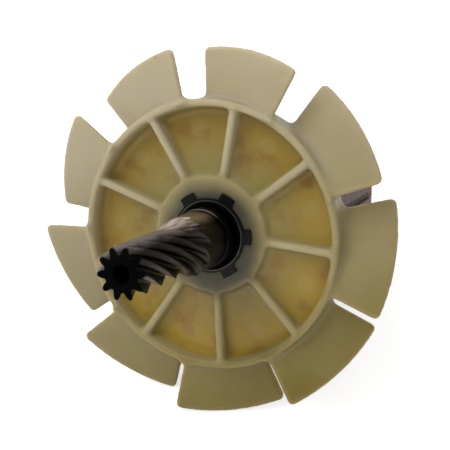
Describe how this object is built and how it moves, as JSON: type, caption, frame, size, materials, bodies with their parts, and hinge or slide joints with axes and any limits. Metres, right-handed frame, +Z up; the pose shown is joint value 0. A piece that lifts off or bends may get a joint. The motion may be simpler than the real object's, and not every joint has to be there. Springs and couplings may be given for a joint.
{
  "type": "motor armature",
  "caption": "Universal-motor armature: shaft with an integral helical pinion, cooling fan with pitched blades, slotted wound core and commutator, lying at rest on its side.",
  "frame": {"origin": "middle of the armature on the surface it lies on, at its lowest point", "axes": "+Z up; +Y along the ground from the pinion towards the commutator; +X completes a right-handed frame, which is the right-hand side of the fan seen from the pinion"},
  "size_m": [0.1001, 0.1922, 0.0968],
  "materials": {
    "shaft_steel": "ground and hobbed steel, oil-darkened",
    "fan_nylon": "moulded natural nylon, aged and slightly stained",
    "insert_steel": "sintered steel, black oxide, oiled",
    "moulded_insulation": "moulded insulation, matte",
    "core_steel": "stacked laminations under a thin varnish",
    "slot_paper": "pressed insulating paper",
    "slot_wedge": "pressed fibre, varnished",
    "winding": "enamelled copper wire under baked varnish",
    "bar_copper": "turned hard copper",
    "moulding": "moulded phenolic",
    "bush_steel": "turned steel",
    "ring_steel": "turned steel",
    "cord": "braided glass cord under varnish"
  },
  "bodies": {
    "root": {"shaft": "shaft_steel", "fan": "fan_nylon", "fan_insert": "insert_steel", "shaft_sleeve": "moulded_insulation", "lamination_core": "core_steel", "front_end_disc": "moulded_insulation", "rear_end_disc": "moulded_insulation", "slot_liners": "slot_paper", "slot_wedges": "slot_wedge", "commutator_moulding": "moulding", "commutator_bush": "bush_steel", "front_retaining_ring": "ring_steel", "rear_retaining_ring": "ring_steel", "lead_binding": "cord", "coil_01": "winding", "coil_02": "winding", "coil_03": "winding", "coil_04": "winding", "coil_05": "winding", "coil_06": "winding", "coil_07": "winding", "coil_08": "winding", "coil_09": "winding", "coil_10": "winding", "coil_11": "winding", "coil_12": "winding", "commutator_bar_01": "bar_copper", "commutator_bar_02": "bar_copper", "commutator_bar_03": "bar_copper", "commutator_bar_04": "bar_copper", "commutator_bar_05": "bar_copper", "commutator_bar_06": "bar_copper", "commutator_bar_07": "bar_copper", "commutator_bar_08": "bar_copper", "commutator_bar_09": "bar_copper", "commutator_bar_10": "bar_copper", "commutator_bar_11": "bar_copper", "commutator_bar_12": "bar_copper", "commutator_bar_13": "bar_copper", "commutator_bar_14": "bar_copper", "commutator_bar_15": "bar_copper", "commutator_bar_16": "bar_copper", "commutator_bar_17": "bar_copper", "commutator_bar_18": "bar_copper", "commutator_bar_19": "bar_copper", "commutator_bar_20": "bar_copper", "commutator_bar_21": "bar_copper", "commutator_bar_22": "bar_copper", "commutator_bar_23": "bar_copper", "commutator_bar_24": "bar_copper"}
  },
  "joints": []
}
